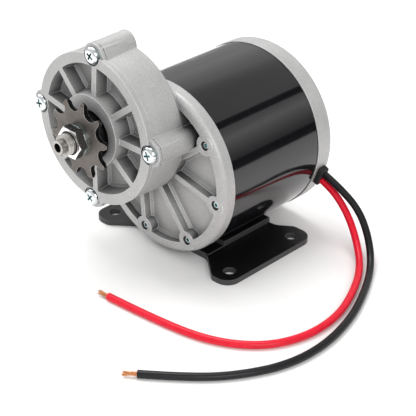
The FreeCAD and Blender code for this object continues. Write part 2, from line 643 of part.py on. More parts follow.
def make_armature_shaft():
    """The armature shaft with the pinion cut on its front end."""
    pinion = involute_gear(MOTOR_POINT, SIZES["pinion_teeth"], PROFILE_SHIFT, SIZES["neck_radius"], MESH_ANGLE,
                           "pinion_outline", ("pinion_front", "pinion_back"))
    seat = "armature_bearing + small_width"
    piece("armature_shaft", fuse(pinion, rod("neck_radius", "pinion_back", "armature_bearing"),
                                 rod("small_bore", "armature_bearing", seat),
                                 rod("armature_shoulder", seat, "cap_bearing"),
                                 rod("small_bore", "cap_bearing", "armature_end")))


def output_key(width, near, far, start, end):
    """The block of a key, or of its keyway, on the upper side of the output shaft."""
    return bar(OUTPUT, 90, near, far, width, start, end)


def make_output_gear():
    teeth = SIZES["gear_teeth"]
    outer = SIZES["tooth_module"] * (teeth / 2 + 1 - PROFILE_SHIFT)
    turn = MESH_ANGLE + math.pi + math.pi / teeth
    rim = involute_gear(OUTPUT_POINT, teeth, -PROFILE_SHIFT, outer, turn, "gear_outline",
                        ("gear_front", "gear_back"))
    hub = rod("gear_hub_radius", "gear_hub_front", "gear_back", OUTPUT)
    dish = ring("gear_web_radius", "gear_hub_radius", "gear_front", "gear_back - gear_web_thick", OUTPUT)
    holes = [rod("gear_hole_radius", "gear_front", "gear_back",
                 spoke(OUTPUT, "(gear_web_radius + gear_hub_radius) / 2", sixth * 60)) for sixth in range(6)]
    keyway = output_key("gear_key_width", "0", "large_bore + gear_key_high + 0.2", "gear_hub_front",
                        "gear_back")
    bore = rod("large_bore", "gear_hub_front", "gear_back", OUTPUT)
    piece("output_gear", cut(fuse(rim, hub), dish, *holes, bore, keyway))


def make_gear_key():
    piece("gear_key", output_key("gear_key_width", "large_bore - gear_key_deep", "large_bore + gear_key_high",
                                 "gear_front", "gear_back - 1"))


def make_retaining_ring():
    gap = bar(OUTPUT, -90, "0", "clip_radius + 1", "clip_gap", "gear_back", "clip_back")
    piece("retaining_ring", cut(ring("clip_radius", "clip_groove", "gear_back", "clip_back", OUTPUT), gap))


# ---------------------------------------------------------------- output shaft, sprocket and nut

def make_output_shaft():
    """From the rear journal to the threaded end with its small tip and centre hole."""
    pitch, depth = SIZES["thread_pitch"], SIZES["thread_depth"]
    root = "thread_radius - thread_depth"
    exposed = SIZES["nut_front"] - SIZES["thread_front"]
    turns = int(exposed / pitch)
    smooth_from = SIZES["thread_front"] + turns * pitch
    parts = [rod("small_bore", "journal_front", "shaft_back", OUTPUT),
             rod("shoulder_radius", "clip_back + 0.6", "output_bearing", OUTPUT),
             rod("large_bore", "spacer_back", "clip_back + 0.7", OUTPUT),
             rod("thread_radius", smooth_from, "spacer_back", OUTPUT),
             rod(root, "thread_front", smooth_from, OUTPUT),
             rod("tip_radius", "tip_front", "thread_front", OUTPUT)]
    for turn in range(turns):
        crest = SIZES["thread_front"] + (turn + 0.5) * pitch
        parts.append(taper(root, "thread_radius", crest - pitch / 2, crest, OUTPUT))
        parts.append(taper("thread_radius", root, crest, crest + pitch / 2, OUTPUT))
    tools = [rod("centre_hole_radius", "tip_front", "tip_front + centre_hole_deep", OUTPUT),
             cut(rod("large_bore + 1", "gear_back", "clip_back", OUTPUT),
                 rod("clip_groove", "gear_back", "clip_back", OUTPUT)),
             output_key("gear_key_width", "large_bore - gear_key_deep", "large_bore + 1", "gear_front",
                        "gear_back - 1"),
             output_key("sprocket_key_width", "thread_radius - sprocket_key_deep", "thread_radius + 1",
                        "sprocket_front", "spacer_front")]
    piece("output_shaft", cut(fuse(*parts), *tools))


def make_shaft_spacer():
    piece("shaft_spacer", ring("spacer_radius", "thread_radius", "spacer_front", "spacer_back", OUTPUT))


def make_sprocket_key():
    piece("sprocket_key", output_key("sprocket_key_width", "thread_radius - sprocket_key_deep",
                                     "thread_radius + sprocket_key_high", "sprocket_front", "spacer_front"))


def sprocket_outline():
    """A roller seat between each two teeth, and flanks that curve in to a narrow tip."""
    count = SIZES["sprocket_teeth"]
    pitch_radius = SIZES["chain_pitch"] / 2 / math.sin(math.pi / count)
    roller, tip = SIZES["roller_radius"], SIZES["sprocket_tip_radius"]
    step = 2 * math.pi / count
    first = math.radians(SIZES["sprocket_first_tooth"])
    seat_half = math.radians(62)
    tip_half = math.radians(1.6)
    bulge = 0.45
    edges = []
    for tooth in range(count):
        middle = first + tooth * step
        gap = middle + step / 2
        seat = polar(OUTPUT_POINT, pitch_radius, gap)
        seat_points = [polar(seat, roller, gap + math.pi - side * seat_half) for side in (-1, 0, 1)]
        this_tip = polar(OUTPUT_POINT, tip, middle + tip_half)
        next_tip = polar(OUTPUT_POINT, tip, middle + step - tip_half)
        edges.append(Part.Arc(polar(OUTPUT_POINT, tip, middle - tip_half), polar(OUTPUT_POINT, tip, middle),
                              this_tip).toShape())
        edges.append(Part.Arc(*seat_points).toShape())
        for low, high in ((seat_points[0], this_tip), (seat_points[2], next_tip)):
            halfway = (low + high) * 0.5
            outward = (halfway - seat).normalize()
            edges.append(Part.Arc(low, halfway - outward * bulge, high).toShape())
    return Part.sortEdges(edges)[0]


def make_sprocket():
    front, back, bevel = "sprocket_front", "spacer_front", "sprocket_bevel"
    blank = extruded(outline("sprocket_outline", sprocket_outline()), front, back)
    low, high = "sprocket_tip_radius - 1.6", "sprocket_tip_radius + 0.6"
    envelope = fuse(taper(low, high, front, f"{front} + {bevel}", OUTPUT),
                    rod(high, f"{front} + {bevel}", f"{back} - {bevel}", OUTPUT),
                    taper(high, low, f"{back} - {bevel}", back, OUTPUT))
    bore = rod("thread_radius", front, back, OUTPUT)
    keyway = output_key("sprocket_key_width", "0", "thread_radius + sprocket_key_high + 0.1", front, back)
    piece("sprocket", cut(common(blank, envelope), bore, keyway))


def make_lock_washer():
    slit = bar(OUTPUT, 200, "0", "washer_radius + 1", "washer_slit", "washer_front", "sprocket_front")
    whole = ring("washer_radius", "thread_radius + 0.1", "washer_front", "sprocket_front", OUTPUT)
    piece("lock_washer", cut(whole, slit))


def make_sprocket_nut():
    hexagon = doc.addObject("Part::Prism", "hexagon")
    hexagon.Polygon = 6
    to_y = Rotation(Vector(1, 0, 0), -90)
    hexagon.Placement = Placement(Vector(), to_y * Rotation(Vector(0, 0, 1), -SIZES["nut_corner_angle"]))
    bind(hexagon, Circumradius="nut_flats / 2 / cos(30)", Height="washer_front - nut_front")
    put(hexagon, OUTPUT, "nut_front")
    corners = "nut_flats / 2 / cos(30) + 0.1"
    envelope = fuse(taper(f"{corners} - 2 * nut_bevel", corners, "nut_front", "nut_front + nut_bevel", OUTPUT),
                    rod(corners, "nut_front + nut_bevel", "washer_front", OUTPUT))
    countersink = taper("thread_radius + 0.8", "thread_radius", "nut_front", "nut_front + 0.8", OUTPUT)
    bore = rod("thread_radius", "nut_front", "washer_front", OUTPUT)
    piece("sprocket_nut", cut(common(hexagon, envelope), bore, countersink))


# ---------------------------------------------------------------- armature

def make_armature_core():
    slots = []
    for index in range(SIZES["slot_count"]):
        angle = 360 * index / SIZES["slot_count"]
        slots.append(bar(MOTOR, angle, "slot_bottom", "core_radius - 2", "slot_width", "core_front",
                         "core_back"))
        slots.append(bar(MOTOR, angle, "core_radius - 3", "core_radius + 1", "slot_mouth", "core_front",
                         "core_back"))
    piece("armature_core", cut(ring("core_radius", "armature_shoulder", "core_front", "core_back"), *slots))


def make_armature_windings():
    """Copper in the slots, joined by the round end turns at both ends of the core."""
    coils = [bar(MOTOR, 360 * index / SIZES["slot_count"], "slot_bottom", "core_radius - 2", "slot_width",
                 "core_front - 1", "core_back + 1") for index in range(SIZES["slot_count"])]
    ends = []
    front = SIZES["core_front"] - SIZES["coil_overhang"]
    back = SIZES["core_back"] + SIZES["coil_overhang"]
    for start, end, outside in (("core_front - coil_overhang", "core_front", front),
                                ("core_back", "core_back + coil_overhang", back)):
        ends.append(rounded(ring("coil_outer", "coil_inner", start, end), SIZES["coil_edge"],
                            circle(SIZES["coil_outer"], outside)))
    piece("armature_windings", fuse(*coils, *ends))


def make_commutator():
    span = ("commutator_front", "commutator_back")
    piece("commutator_hub", ring("commutator_hub_radius", "armature_shoulder", *span))
    slits = [bar(MOTOR, 360 * index / SIZES["bar_count"], "commutator_hub_radius - 1", "commutator_radius + 1",
                 "bar_gap", *span) for index in range(SIZES["bar_count"])]
    piece("commutator_bars", cut(ring("commutator_radius", "commutator_hub_radius", *span), *slits))


# ---------------------------------------------------------------- brush gear

def brush_angles():
    return [SIZES["brush_first_angle"] + 90 * quarter for quarter in range(4)]


def make_brush_plate():
    span = ("brush_plate_front", "brush_plate_front + brush_plate_thick")
    holes = [rod("bolt_radius + brush_bolt_gap", *span, spoke(MOTOR, "bolt_circle", angle))
             for angle in bolt_angles()]
    piece("brush_plate", cut(ring(f"{CAN_INSIDE} - cap_wall", "brush_plate_bore", *span), *holes))


def make_brush_holders():
    holders = []
    for angle in brush_angles():
        front, back = "brush_mid - brush_long / 2", "brush_mid + brush_long / 2"
        case = bar(MOTOR, angle, "holder_inner", "holder_outer", "brush_width + 2 * holder_wall",
                   f"{front} - holder_wall", f"{back} + holder_wall")
        inside = bar(MOTOR, angle, "holder_inner - 1", "holder_outer - holder_wall", "brush_width", front,
                     back)
        holders.append(cut(case, inside))
    piece("brush_holders", group(holders))


def make_brushes():
    gap = "running_gap"
    brushes = [cut(bar(MOTOR, angle, "commutator_radius - 1", "brush_top", f"brush_width - 2 * {gap}",
                       f"brush_mid - brush_long / 2 + {gap}", f"brush_mid + brush_long / 2 - {gap}"),
                   rod(f"commutator_radius + {gap}", "commutator_front", "commutator_back"))
               for angle in brush_angles()]
    piece("brushes", group(brushes))


def make_brush_springs():
    """A coil spring behind each brush, closed in by the end of its holder."""
    clear = SIZES["spring_wire"] + 0.01
    start = SIZES["brush_top"] + clear
    end = SIZES["holder_outer"] - SIZES["holder_wall"] - clear
    springs = []
    for angle in brush_angles():
        helix = doc.addObject("Part::Helix", "helix")
        bind(helix, Radius="spring_radius")
        helix.Height = end - start
        helix.Pitch = (end - start) / SIZES["spring_turns"]
        section = doc.addObject("Part::Circle", "section")
        bind(section, Radius="spring_wire")
        section.Placement = Placement(Vector(SIZES["spring_radius"], 0, 0), Rotation(Vector(1, 0, 0), 90))
        sweep = doc.addObject("Part::Sweep", "spring")
        sweep.Sections = [section]
        sweep.Spine = (helix, [])
        sweep.Solid = True
        sweep.Frenet = True
        outward = Vector(math.cos(math.radians(angle)), 0, math.sin(math.radians(angle)))
        centre = MOTOR_POINT + Vector(0, SIZES["brush_mid"], 0)
        sweep.Placement = Placement(centre + outward * start, Rotation(Vector(0, 0, 1), outward))
        springs.append(sweep)
    piece("brush_springs", group(springs))


# ---------------------------------------------------------------- leads

def grommet_block(across, wide, near, far):
    """A block on the radial line of the grommet: across round the cap, wide along Y."""
    return bar(MOTOR, "-grommet_angle", near, far, across, f"grommet_mid - ({wide}) / 2",
               f"grommet_mid + ({wide}) / 2")


GROMMET_OUT = Vector(math.cos(math.radians(SIZES["grommet_angle"])), 0,
                     -math.sin(math.radians(SIZES["grommet_angle"])))
GROMMET_UP = Vector(-GROMMET_OUT.z, 0, GROMMET_OUT.x)
GROMMET_FACE = (MOTOR_POINT + Vector(0, SIZES["grommet_mid"], 0)
                + GROMMET_OUT * (SIZES["cap_radius"] + SIZES["grommet_stand"]))


def make_lead_grommet():
    """A rubber grommet in the side of the rear cap; both leads leave it side by side."""
    flange = grommet_block("grommet_flange", "grommet_width", "cap_radius - 0.6", "cap_radius + grommet_stand")
    doc.recompute()
    outside = cut(rounded(flange, SIZES["grommet_edge"], lambda edge: True),
                  rod("cap_radius", "can_back", "cap_back"))
    neck = grommet_block("grommet_neck", "grommet_width - 2", "cap_radius - grommet_root", "cap_radius + 0.5")
    piece("lead_grommet", fuse(outside, neck))


def cord_wire(points):
    """Straight runs joined by arcs that touch them, and the arcs' radii."""
    corners = []
    radii = []
    for before, corner, after in zip(points, points[1:], points[2:]):
        back, on = (before - corner), (after - corner)
        turn = math.pi - back.getAngle(on)
        radius = 0.45 * min(back.Length, on.Length) / math.tan(turn / 2)
        trim = radius * math.tan(turn / 2)
        first = corner + Vector(back).normalize() * trim
        last = corner + Vector(on).normalize() * trim
        centre_way = (Vector(back).normalize() + Vector(on).normalize()).normalize()
        middle = corner + centre_way * (radius / math.cos(turn / 2) - radius)
        corners.append((first, middle, last))
        radii.append(radius)
    edges = []
    here = points[0]
    for first, middle, last in corners:
        edges.append(Part.LineSegment(here, first).toShape())
        edges.append(Part.Arc(first, middle, last).toShape())
        here = last
    edges.append(Part.LineSegment(here, points[-1]).toShape())
    return Part.Wire(edges), radii


def make_lead(label, points):
    """A tube along a route, and the bare strands at its far end."""
    radius = SIZES["lead_radius"]
    wire, radii = cord_wire(points)
    section = Part.Wire(Part.Circle(points[0], points[1] - points[0], radius).toShape())
    tube = doc.addObject("Part::Feature", label)
    tube.Shape = wire.makePipeShell([section], True, True)
    piece(label, tube)
    ideal = math.pi * radius * radius * wire.Length
    print(label, "length", round(wire.Length, 1), "tightest arc", round(min(radii), 1), "mm; radii",
          [round(value, 1) for value in radii], "volume ratio", round(tube.Shape.Volume / ideal, 4))

    make_strands(f"{label}_strands", points[-1], (points[-1] - points[-2]).normalize())


def make_strands(label, end, out):
    """Seven bare strands: one in the middle, and six round it that lean a little to the sides."""
    side = Vector(-out.y, out.x, 0)
    strands = []
    for index in range(7):
        turn = index * math.pi / 3
        middle = index == 6
        offset = Vector() if middle else side * math.cos(turn) + Vector(0, 0, 1) * math.sin(turn)
        lean = 0 if middle else SIZES["strand_lean"] * math.cos(turn * 2 + 1)
        # a strand that leans starts a little further out, so that its edge only touches the end of the lead
        start = end + offset * SIZES["strand_circle"] + out * SIZES["strand_radius"] * abs(lean)
        strand = doc.addObject("Part::Cylinder", "strand")
        bind(strand, Radius="strand_radius")
        strand.Height = SIZES["strand_long"] + index % 3
        strand.Placement = Placement(start, Rotation(Vector(0, 0, 1), out + side * lean))
        strands.append(strand)
    piece(label, group(strands))


def make_leads():
    floor = SIZES["lead_radius"]
    half_gap = SIZES["lead_gap"] / 2
    red_exit = GROMMET_FACE - GROMMET_UP * half_gap
    black_exit = GROMMET_FACE + GROMMET_UP * half_gap
    red = [red_exit, red_exit + GROMMET_OUT * 9, Vector(70.5, 46, 19.2), Vector(82, 40.5, 8.2),
           Vector(94.5, 28.5, floor), Vector(107, 6, floor), Vector(115.5, -18, floor),
           Vector(115.5, -43, floor), Vector(105.5, -65, floor), Vector(83, -80.5, floor),
           Vector(50, -86.5, floor), Vector(16.2, -88.8, floor)]
    black = [black_exit, black_exit + GROMMET_OUT * 10, Vector(76, 48, 24.3), Vector(88, 43.5, 11.8),
             Vector(98.5, 33, floor), Vector(111, 11, floor), Vector(121.5, -14, floor),
             Vector(127, -42, floor), Vector(124.5, -68, floor), Vector(113, -91, floor),
             Vector(97.5, -109, floor), Vector(76.7, -125.3, floor)]
    make_lead("red_lead", red)
    make_lead("black_lead", black)


# ---------------------------------------------------------------- everything

def main():
    make_foot_plate()
    make_foot_saddle()
    make_motor_can()
    make_field_magnets()
    make_rear_cap()
    make_cap_bolts()
    make_gearbox_housing()
    make_bell_screws()
    make_gearbox_cover()
    make_cover_gasket()
    make_cover_screws()
    make_shaft_seal()
    make_bearing("armature_front_bearing", MOTOR, "armature_bearing", "small", 8)
    make_bearing("armature_rear_bearing", MOTOR, "cap_bearing", "small", 8)
    make_bearing("output_front_bearing", OUTPUT, "seal_back", "large", 10)
    make_bearing("output_rear_bearing", OUTPUT, "output_bearing", "small", 8)
    make_preload_washer()
    make_armature_shaft()
    make_armature_core()
    make_armature_windings()
    make_commutator()
    make_brush_plate()
    make_brush_holders()
    make_brushes()
    make_brush_springs()
    make_output_shaft()
    make_output_gear()
    make_gear_key()
    make_retaining_ring()
    make_shaft_spacer()
    make_sprocket_key()
    make_sprocket()
    make_lock_washer()
    make_sprocket_nut()
    make_lead_grommet()
    make_leads()
    export()


def export():
    """Check every object and shape, then write one STEP file for each sub-part."""
    doc.recompute()
    troubled = [thing.Label for thing in doc.Objects if {"Invalid", "Error"} & set(thing.State)]
    if troubled:
        raise RuntimeError(f"objects in error: {troubled}")
    os.makedirs("parts", exist_ok=True)
    for label, thing in pieces.items():
        shape = thing.Shape
        if not shape.isValid() or not shape.Solids:
            raise RuntimeError(f"{label} has no valid solid")
        shape.exportStep(f"parts/{label}.step")
        print(f"{label}: {len(shape.Solids)} solids, {shape.Volume:.1f} mm3")
    print(len(pieces), "sub-parts")


main()
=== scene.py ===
"""Looks of the geared DC motor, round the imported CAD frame: camera, leads, materials and studio.

Metres, in the row frame: +Z up, both shafts along Y, the sprocket at the -Y end, the foot plate
on Z = 0. Left, right, front and back are the object's own: -X, +X, -Y and +Y.
"""
import json
import math
import random

import bmesh
import bpy
from mathutils import Matrix, Vector


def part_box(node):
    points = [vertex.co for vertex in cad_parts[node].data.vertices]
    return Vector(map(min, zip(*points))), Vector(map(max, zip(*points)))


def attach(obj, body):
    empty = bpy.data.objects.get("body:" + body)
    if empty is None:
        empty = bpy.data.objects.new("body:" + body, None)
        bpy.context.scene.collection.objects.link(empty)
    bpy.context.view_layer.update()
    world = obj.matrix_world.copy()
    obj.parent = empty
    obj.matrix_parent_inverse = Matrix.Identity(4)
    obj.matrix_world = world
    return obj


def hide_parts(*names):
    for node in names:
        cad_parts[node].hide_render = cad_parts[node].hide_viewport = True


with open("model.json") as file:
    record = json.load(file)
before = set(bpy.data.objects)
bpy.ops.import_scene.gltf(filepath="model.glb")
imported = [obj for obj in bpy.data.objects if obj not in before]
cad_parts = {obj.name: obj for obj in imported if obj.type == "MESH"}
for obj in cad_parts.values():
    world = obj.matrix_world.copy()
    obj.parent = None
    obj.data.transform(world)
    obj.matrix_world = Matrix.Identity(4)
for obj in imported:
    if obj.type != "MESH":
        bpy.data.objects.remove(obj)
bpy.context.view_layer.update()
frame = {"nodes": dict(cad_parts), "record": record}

MM = 0.001
nodes = frame["nodes"]
scene = bpy.context.scene


# ---------------------------------------------------------------- camera

CAMERA_PLACE = (0.46367, -0.48690, 0.39890)
CAMERA_AZIMUTH = math.radians(43.317)
CAMERA_ELEVATION = math.radians(29.798)
CAMERA_ROLL = math.radians(0.769)
CAMERA_LENS = 115.96  # in millimetres, like the sensor's width
CAMERA_SENSOR = 36
CAMERA_NEAREST = 0.01


def make_camera():
    """A long lens from the front right, looking down at the sprocket end."""
    data = bpy.data.cameras.new("camera")
    data.lens = CAMERA_LENS
    data.sensor_width = CAMERA_SENSOR
    data.clip_start = CAMERA_NEAREST
    camera = bpy.data.objects.new("camera", data)
    scene.collection.objects.link(camera)
    turn = Matrix.Rotation(CAMERA_AZIMUTH, 4, "Z")
    tilt = Matrix.Rotation(math.pi / 2 - CAMERA_ELEVATION, 4, "X")
    roll = Matrix.Rotation(CAMERA_ROLL, 4, "Z")
    camera.matrix_world = Matrix.Translation(CAMERA_PLACE) @ turn @ tilt @ roll
    scene.camera = camera


# ---------------------------------------------------------------- leads

# Control points of each lead's centre line, in millimetres, from the grommet to the cut end.
RED_ROUTE = [
    (49.265, 47.3, 32.715), (57.722, 47.3, 29.637), (70.5, 46, 19.2), (82, 40.5, 8.2),
    (94.5, 28.5, 2.1), (107, 6, 2.1), (115.5, -18, 2.1), (115.5, -43, 2.1), (105.5, -65, 2.1),
    (83, -80.5, 2.1), (50, -86.5, 2.1), (16.2, -88.8, 2.1)]
BLACK_ROUTE = [
    (50.906, 47.3, 37.226), (60.303, 47.3, 33.805), (76, 48, 24.3), (88, 43.5, 11.8),
    (98.5, 33, 2.1), (111, 11, 2.1), (121.5, -14, 2.1), (127, -42, 2.1), (124.5, -68, 2.1),
    (113, -91, 2.1), (97.5, -109, 2.1), (76.7, -125.3, 2.1)]
RED_SEED = 11
BLACK_SEED = 12
LEAD_RADIUS = 2.1 * MM
LEAD_ROUND_STEPS = 8
LEAD_LONG_STEPS = 16

STRAND_RINGS = ((6, 0.55 * MM), (12, 1.12 * MM))  # how many strands, and the ring's radius
STRAND_SCATTER = 0.3  # how far a strand strays round its ring, as a part of their spacing
STRAND_RADIUS = 0.24 * MM
STRAND_TWIST = 1.9  # radians, over the bare length
STRAND_INSET = 0.3 * MM  # how far inside the insulation a strand starts
STRAND_LENGTHS = (0.8, 1.0)  # shortest and longest, as parts of the bare length
STRAND_SPREADS = (0.85, 1.25)  # least and most that a ring has widened at the strand's tip
STRAND_PINCH = 0.25  # how much narrower the bundle is halfway along
STRAND_STEPS = 10
STRAND_SIDES = 8


def lead_curve(name, route):
    """A lead's insulation: one NURBS spline on the route's control points, with a round bevel."""
    data = bpy.data.curves.new(name, "CURVE")
    data.dimensions = "3D"
    data.bevel_depth = 1
    data.bevel_resolution = LEAD_ROUND_STEPS
    data.resolution_u = LEAD_LONG_STEPS
    data.use_fill_caps = True
    spline = data.splines.new("NURBS")
    spline.points.add(len(route) - 1)
    for point, place in zip(spline.points, route):
        point.co = (*(Vector(place) * MM), 1)
        point.radius = LEAD_RADIUS
    spline.order_u = 3
    spline.use_endpoint_u = True
    lead = bpy.data.objects.new(name, data)
    scene.collection.objects.link(lead)
    return lead


def strand_places():
    """Centres of the strands in the cut end: one in the middle and rings round it."""
    places = [(0.0, 0.0)]
    for count, radius in STRAND_RINGS:
        for index in range(count):
            angle = math.tau * (index + random.random() * STRAND_SCATTER) / count
            places.append((radius * math.cos(angle), radius * math.sin(angle)))
    return places


def add_tube(mesh, path, radius, sides):
    """A round tube along a list of points, closed at both ends, added to a bmesh."""
    outline = [Vector((radius * math.cos(math.tau * side / sides),
                       radius * math.sin(math.tau * side / sides), 0)) for side in range(sides)]
    rings = []
    for index, point in enumerate(path):
        ahead = path[min(index + 1, len(path) - 1)] - path[max(index - 1, 0)]
        turn = ahead.to_track_quat("Z", "Y")
        rings.append([mesh.verts.new(point + turn @ corner) for corner in outline])
    for near, far in zip(rings, rings[1:]):
        for side in range(sides):
            after = (side + 1) % sides
            mesh.faces.new((near[side], near[after], far[after], far[side]))
    mesh.faces.new(list(reversed(rings[0])))
    mesh.faces.new(rings[-1])


def bare_end(name, route, node, seed):
    """The twisted copper strands that stick out of a lead's cut end, about as far as the node."""
    random.seed(seed)
    end = Vector(route[-1]) * MM
    ahead = (end - Vector(route[-2]) * MM).normalized()
    turn = ahead.to_track_quat("Z", "Y")
    low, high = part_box(node)
    reach = max((Vector((x, y, end.z)) - end).dot(ahead)
                for x in (low.x, high.x) for y in (low.y, high.y))
    mesh = bmesh.new()
    for x, y in strand_places():
        length = reach * random.uniform(*STRAND_LENGTHS)
        spread = random.uniform(*STRAND_SPREADS)
        path = []
        for step in range(STRAND_STEPS + 1):
            along = step / STRAND_STEPS
            angle = STRAND_TWIST * along
            wide = 1 - STRAND_PINCH * math.sin(math.pi * along) + (spread - 1) * along ** 2
            path.append(end + turn @ Vector((wide * (x * math.cos(angle) - y * math.sin(angle)),
                                             wide * (x * math.sin(angle) + y * math.cos(angle)),
                                             length * along - STRAND_INSET)))
        add_tube(mesh, path, STRAND_RADIUS, STRAND_SIDES)
    data = bpy.data.meshes.new(name)
    mesh.to_mesh(data)
    mesh.free()
    for face in data.polygons:
        face.use_smooth = True
    strands = bpy.data.objects.new(name, data)
    scene.collection.objects.link(strands)
    return strands


def make_lead(colour, route, seed):
    """A free lead and its bare strands, in place of their CAD nodes."""
    lead = lead_curve(f"{colour}_lead_insulation", route)
    copper = bare_end(f"{colour}_lead_copper", route, f"{colour}_lead_strands", seed)
    for piece, node, slot in ((lead, f"{colour}_lead", f"{colour}_insulation"),
                              (copper, f"{colour}_lead_strands", "bare_copper")):
        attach(piece, "frame")
        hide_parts(node)
    return lead, copper


# ---------------------------------------------------------------- node trees

# A noise seldom leaves this range, so a change of tone that follows it starts and ends there.
NOISE_LOW, NOISE_HIGH = 0.3, 0.7

# The colour sockets of a Mix node, by number, because its other types use the same names.
MIX_AMOUNT, MIX_FIRST, MIX_SECOND, MIX_RESULT = 0, 6, 7, 2

BEVEL_SAMPLES = 6
OPENNESS_SAMPLES = 8
OPENNESS_RANGE = (0.15, 0.85)  # the part of the ambient occlusion's range that is used
EDGE_LEAN = 0.12  # how far the rounded normal leans at a full edge, as one minus its cosine


def grey(value):
    return (value, value, value)


class Tree:
    """Short calls for building a node tree."""

    def __init__(self, tree):
        self.tree = tree

    def add(self, kind, sockets=(), **properties):
        """A new node with its input sockets set to values, or linked to other nodes' outputs."""
        made = self.tree.nodes.new(kind)
        for name, value in properties.items():
            setattr(made, name, value)
        for socket, value in dict(sockets).items():
            if isinstance(value, bpy.types.NodeSocket):
                self.tree.links.new(value, made.inputs[socket])
            else:
                made.inputs[socket].default_value = value
        return made

    def ramp(self, value, *stops):
        """A colour ramp from (position, colour) stops."""
        made = self.add("ShaderNodeValToRGB", {"Fac": value})
        elements = made.color_ramp.elements
        while len(elements) < len(stops):
            elements.new(0.5)
        for element, (position, colour) in zip(elements, stops):
            element.position = position
            element.color = (*colour, 1)
        return made.outputs["Color"]

    def range(self, value, low, high, start=0.0, end=1.0):
        """A value between start and end mapped to low and high."""
        return self.add("ShaderNodeMapRange", {"Value": value, "From Min": start, "From Max": end,
                                               "To Min": low, "To Max": high}).outputs["Result"]

    def blend(self, amount, first, second, kind="MIX"):
        """Two colours mixed by an amount."""
        first, second = (value if isinstance(value, bpy.types.NodeSocket) else (*value, 1)
                         for value in (first, second))
        made = self.add("ShaderNodeMix", {MIX_AMOUNT: amount, MIX_FIRST: first, MIX_SECOND: second},
                        data_type="RGBA", blend_type=kind)
        return made.outputs[MIX_RESULT]

    def shaded(self, colour, amount):
        """A colour multiplied by a grey amount."""
        return self.blend(1, colour, amount, "MULTIPLY")


class Surface(Tree):
    """A material, with short calls for the steps that the finishes share.

    Scales of noise are per metre, in the object's own coordinates.
    """

    def __init__(self, name, **settings):
        self.material = bpy.data.materials.new(name)
        self.material.use_nodes = True
        super().__init__(self.material.node_tree)
        self.shader = self.tree.nodes["Principled BSDF"]
        self.coordinates = self.add("ShaderNodeTexCoord").outputs
        for socket, value in settings.items():
            self.shader.inputs[socket.replace("_", " ")].default_value = value

    def link(self, output, socket):
        self.tree.links.new(output, self.shader.inputs[socket])

    def stretched(self, scale):
        """The object's coordinates, scaled along each axis."""
        return self.add("ShaderNodeMapping", {"Vector": self.coordinates["Object"],
                                              "Scale": scale}).outputs["Vector"]

    def noise(self, scale, detail=4, rough=0.55, at=None):
        return self.add("ShaderNodeTexNoise", {"Vector": at or self.coordinates["Object"],
                                               "Scale": scale, "Detail": detail,
                                               "Roughness": rough}).outputs["Fac"]

    def mottle(self, value, dark, light):
        """A tone between dark and light that follows a noise."""
        return self.ramp(value, (NOISE_LOW, dark), (NOISE_HIGH, light))

    def rounded(self, radius):
        """The normal with the piece's edges rounded by radius."""
        made = self.add("ShaderNodeBevel", {"Radius": radius}, samples=BEVEL_SAMPLES)
        return made.outputs["Normal"]

    def edges(self, radius, most):
        """Up to most at the piece's sharp edges, and nought on its flats."""
        true = self.add("ShaderNodeNewGeometry").outputs["Normal"]
        alike = self.add("ShaderNodeVectorMath", {0: self.rounded(radius), 1: true},
                         operation="DOT_PRODUCT").outputs["Value"]
        return self.range(alike, most, 0, 1 - EDGE_LEAN, 1)

    def openness(self, reach):
        """One on open faces, falling to nought deep in corners and pockets."""
        made = self.add("ShaderNodeAmbientOcclusion", {"Distance": reach}, samples=OPENNESS_SAMPLES)
        return self.range(made.outputs["AO"], 0, 1, *OPENNESS_RANGE)

    def facing(self, axis):
        """How squarely a face looks along one of the object's axes, either way."""
        along = self.add("ShaderNodeSeparateXYZ", {"Vector": self.coordinates["Normal"]})
        return self.add("ShaderNodeMath", {0: along.outputs[axis]}, operation="ABSOLUTE").outputs[0]

    def relief(self, height, depth, strength, radius=0.0):
        """Fine relief from a height field, over edges rounded by radius."""
        bump = self.add("ShaderNodeBump", {"Height": height, "Distance": depth,
                                           "Strength": strength})
        if radius:
            self.tree.links.new(self.rounded(radius), bump.inputs["Normal"])
        self.link(bump.outputs["Normal"], "Normal")


# ---------------------------------------------------------------- materials

PAINTED_HIGHLIGHT_GAIN = 1.25  # how much brighter a steel's painted edge highlight is than its light tone
STEEL_EDGE = 0.25 * MM  # how far in from a steel piece's edge the painted highlight reaches


def cast_aluminium():
    """Tumbled die casting: fine grain, cloudy tone, painted shade in the pockets and on their
    walls, painted highlights on the edges.
    """
    surface = Surface("cast_aluminium", Metallic=0.35)
    cloud = surface.noise(scale=55, detail=5)
    grain = surface.noise(scale=1900, detail=2, rough=0.7)
    open_air = surface.openness(reach=14 * MM)
    open_or_front = surface.add("ShaderNodeMath", {0: open_air, 1: surface.facing("Y")},
                                operation="MAXIMUM").outputs[0]
    colour = surface.mottle(cloud, (0.465, 0.463, 0.46), (0.535, 0.533, 0.53))
    # The grain, then painted shade deep in the pockets, then more painted shade on the pocket walls
    # that face neither front nor back.
    for shade in (surface.ramp(grain, (0.36, grey(0.76)), (0.62, grey(1.0))),
                  surface.range(open_air, low=0.5, high=1),
                  surface.range(open_or_front, low=0.22, high=1, start=0.25, end=0.9)):
        colour = surface.shaded(colour, shade)
    # Painted highlights along the edges.
    worn = surface.edges(radius=0.5 * MM, most=0.8)
    surface.link(surface.blend(worn, colour, grey(0.9)), "Base Color")
    surface.link(surface.range(cloud, low=0.42, high=0.54), "Roughness")
    surface.relief(grain, depth=0.06 * MM, strength=0.5, radius=0.5 * MM)
    return surface.material


